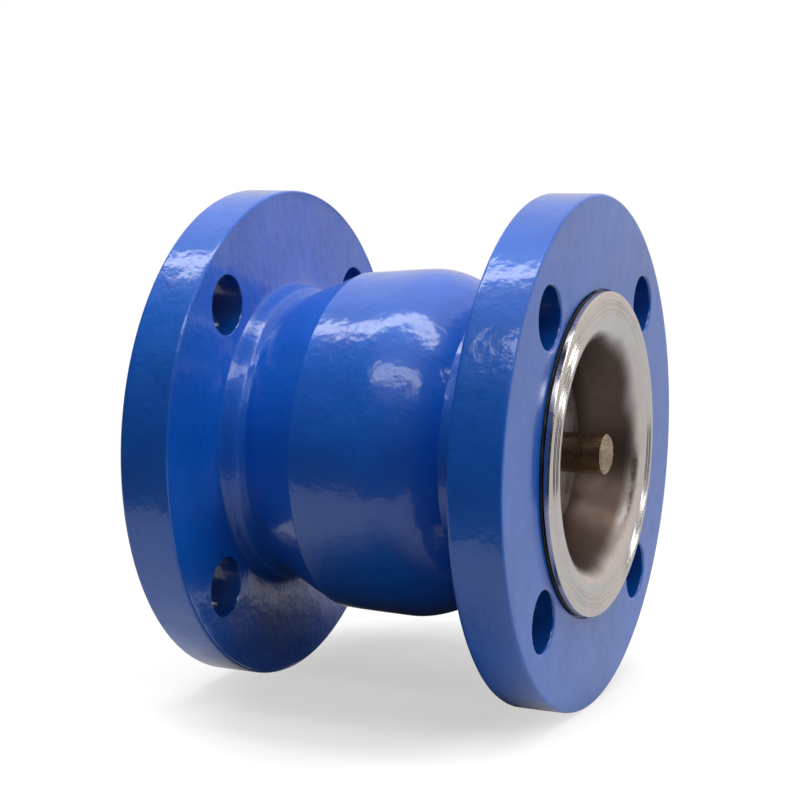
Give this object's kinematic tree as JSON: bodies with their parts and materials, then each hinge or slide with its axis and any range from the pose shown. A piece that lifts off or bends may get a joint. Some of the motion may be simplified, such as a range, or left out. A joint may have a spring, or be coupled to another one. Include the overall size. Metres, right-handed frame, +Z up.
{
  "type": "flanged silent check valve",
  "caption": "Spring-loaded axial check valve with two bolt flanges, a waisted barrel body, a bell-mouthed seat ring and a guided disc.",
  "frame": {"origin": "on the valve's axis, midway between the outer faces of the two flanges, which is within 0.5 mm of the middle of the whole valve", "axes": "+X along the valve's axis towards the inlet, against the flow; +Z up as the valve lies on its flanges; the bolt holes stand at 45 degrees to Y and Z"},
  "size_m": [0.1288, 0.16, 0.16],
  "materials": {
    "blue_enamel": "thick glossy blue enamel brushed over cast iron",
    "turned_stainless": "lathe-turned and polished stainless steel",
    "cast_stainless": "bead-blasted stainless casting",
    "fastener_steel": "plain stainless fasteners",
    "spring_steel": "drawn stainless spring wire",
    "stem_bronze": "dark drawn bronze bar with a sawn end",
    "bearing_bronze": "turned bearing bronze",
    "black_rubber": "moulded black rubber"
  },
  "bodies": {
    "valve_body": {"body": "blue_enamel", "seat_ring": "turned_stainless", "seat_gasket": "black_rubber", "seat_o_ring": "black_rubber", "guide_spider": "cast_stainless", "guide_bushing": "bearing_bronze", "bushing_snap_ring": "spring_steel", "guide_retaining_ring": "spring_steel", "spring": "spring_steel"},
    "spring_carrier": {"spring_seat": "fastener_steel"},
    "disc_assembly": {"disc": "turned_stainless", "disc_seal": "black_rubber", "disc_backing_plate": "turned_stainless", "retainer_screw_1": "fastener_steel", "retainer_screw_2": "fastener_steel", "retainer_screw_3": "fastener_steel", "retainer_screw_4": "fastener_steel", "stem": "stem_bronze", "stem_o_ring": "black_rubber", "lock_washer": "fastener_steel", "stem_nut": "fastener_steel", "nut_pin": "fastener_steel"}
  },
  "joints": [
    {"name": "disc_lift", "type": "slide", "parent": "valve_body", "child": "spring_carrier", "axis": [-1, 0, 0], "range_m": [0, 0.0125], "stiffness_N_per_m": 1400, "springref_m": -0.009, "deforming": ["spring"]},
    {"name": "disc_spin", "type": "hinge", "parent": "spring_carrier", "child": "disc_assembly", "pos_m": [0, 0, 0], "axis": [1, 0, 0], "continuous": true}
  ]
}
